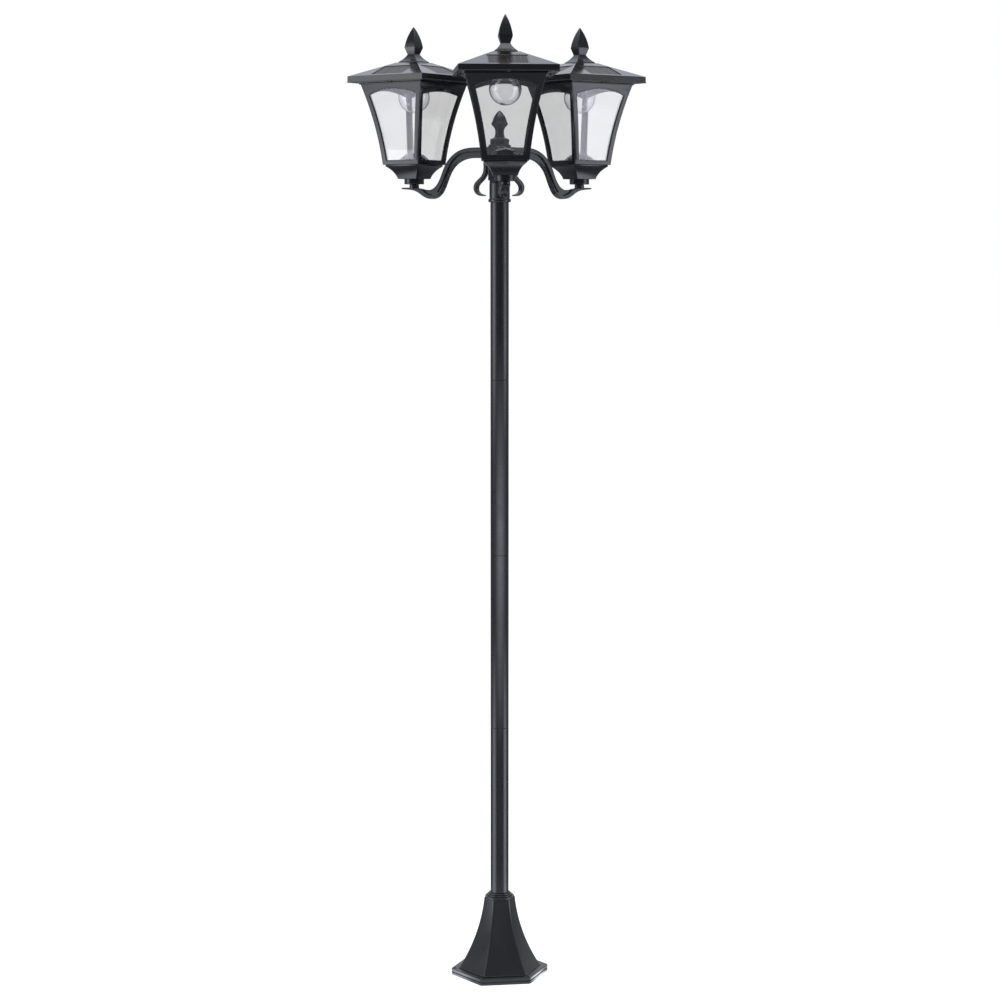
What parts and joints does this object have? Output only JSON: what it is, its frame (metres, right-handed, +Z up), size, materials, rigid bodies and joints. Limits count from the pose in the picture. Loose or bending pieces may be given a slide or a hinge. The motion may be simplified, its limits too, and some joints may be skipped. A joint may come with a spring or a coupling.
{
  "type": "triple head lamp post",
  "caption": "Black solar garden lamp post: square flared lanterns with clear globes on scrolled arms, on a round sectional pole with a six-sided flared base.",
  "frame": {"origin": "on the pole's axis at the ground, the centre of the three anchor holes", "axes": "+Z is up along the pole; head 1 reaches out along -Y, heads 2 and 3 a third of a turn apart"},
  "size_m": [0.573, 0.4972, 1.83],
  "materials": {
    "base_black": "black powder coat, satin, slightly worn on its edges",
    "pole_black": "black powder coat on round tube, satin",
    "arm_black": "black powder coat on a casting, satin, faint orange peel",
    "lantern_black": "moulded black plastic, semi-gloss",
    "roof_black": "moulded black plastic, glossy",
    "inner_black": "moulded black plastic, glossy",
    "solar_cell": "dark solar cell strips under clear resin",
    "clear_pane": "clear sheet, faintly smoky",
    "clear_globe": "thin clear globe",
    "white_plastic": "white moulded plastic",
    "cell_wrap": "plain green shrink wrap on a black tray",
    "circuit_green": "green circuit board",
    "coupler_plastic": "black moulded plug",
    "zinc_steel": "zinc plated steel",
    "black_steel": "black oxide on steel, faintly oily"
  },
  "bodies": {
    "root": {"base_skirt": "base_black", "base_ring": "base_black", "pole_section_1": "pole_black", "pole_section_2": "pole_black", "pole_section_3": "pole_black", "pole_section_4": "pole_black", "pole_coupler_1": "coupler_plastic", "pole_coupler_2": "coupler_plastic", "pole_coupler_3": "coupler_plastic", "top_collar": "pole_black", "arm_hub": "arm_black", "hub_finial": "arm_black", "arm_screws": "zinc_steel", "arm_1": "arm_black", "arm_2": "arm_black", "arm_3": "arm_black", "stud_nuts": "zinc_steel"},
    "head_1": {"socket_bell_1": "lantern_black", "lantern_frame_1": "lantern_black", "window_panes_1": "clear_pane", "nut_cover_1": "inner_black"},
    "head_2": {"socket_bell_2": "lantern_black", "lantern_frame_2": "lantern_black", "window_panes_2": "clear_pane", "nut_cover_2": "inner_black"},
    "head_3": {"socket_bell_3": "lantern_black", "lantern_frame_3": "lantern_black", "window_panes_3": "clear_pane", "nut_cover_3": "inner_black"},
    "roof_1": {"roof_shell_1": "roof_black", "soffit_plate_1": "roof_black", "solar_panels_1": "solar_cell", "roof_finial_1": "lantern_black", "bulb_globe_1": "clear_globe", "lamp_holder_1": "white_plastic", "battery_pack_1": "cell_wrap", "control_board_1": "circuit_green", "roof_screws_1": "black_steel"},
    "roof_2": {"roof_shell_2": "roof_black", "soffit_plate_2": "roof_black", "solar_panels_2": "solar_cell", "roof_finial_2": "lantern_black", "bulb_globe_2": "clear_globe", "lamp_holder_2": "white_plastic", "battery_pack_2": "cell_wrap", "control_board_2": "circuit_green", "roof_screws_2": "black_steel"},
    "roof_3": {"roof_shell_3": "roof_black", "soffit_plate_3": "roof_black", "solar_panels_3": "solar_cell", "roof_finial_3": "lantern_black", "bulb_globe_3": "clear_globe", "lamp_holder_3": "white_plastic", "battery_pack_3": "cell_wrap", "control_board_3": "circuit_green", "roof_screws_3": "black_steel"},
    "switch_1": {"switch_button_1": "white_plastic"},
    "switch_2": {"switch_button_2": "white_plastic"},
    "switch_3": {"switch_button_3": "white_plastic"}
  },
  "joints": [
    {"name": "head_turn_1", "type": "hinge", "parent": "root", "child": "head_1", "pos_m": [0, -0.184, 1.532], "axis": [0, 0, 1], "continuous": true},
    {"name": "lid_lift_1", "type": "slide", "parent": "head_1", "child": "roof_1", "axis": [0, 0, 1], "range_m": [0, 0.08]},
    {"name": "switch_slide_1", "type": "slide", "parent": "roof_1", "child": "switch_1", "axis": [0.9999, 0.0157, 0], "range_m": [0, 0.003]},
    {"name": "head_turn_2", "type": "hinge", "parent": "root", "child": "head_2", "pos_m": [0.15935, 0.092, 1.532], "axis": [0, 0, 1], "continuous": true},
    {"name": "lid_lift_2", "type": "slide", "parent": "head_2", "child": "roof_2", "axis": [0, 0, 1], "range_m": [0, 0.08]},
    {"name": "switch_slide_2", "type": "slide", "parent": "roof_2", "child": "switch_2", "axis": [-0.5299, 0.848, 0], "range_m": [0, 0.003]},
    {"name": "head_turn_3", "type": "hinge", "parent": "root", "child": "head_3", "pos_m": [-0.15935, 0.092, 1.532], "axis": [0, 0, 1], "continuous": true},
    {"name": "lid_lift_3", "type": "slide", "parent": "head_3", "child": "roof_3", "axis": [0, 0, 1], "range_m": [0, 0.08]},
    {"name": "switch_slide_3", "type": "slide", "parent": "roof_3", "child": "switch_3", "axis": [-0.632, -0.7749, 0], "range_m": [0, 0.003]}
  ]
}
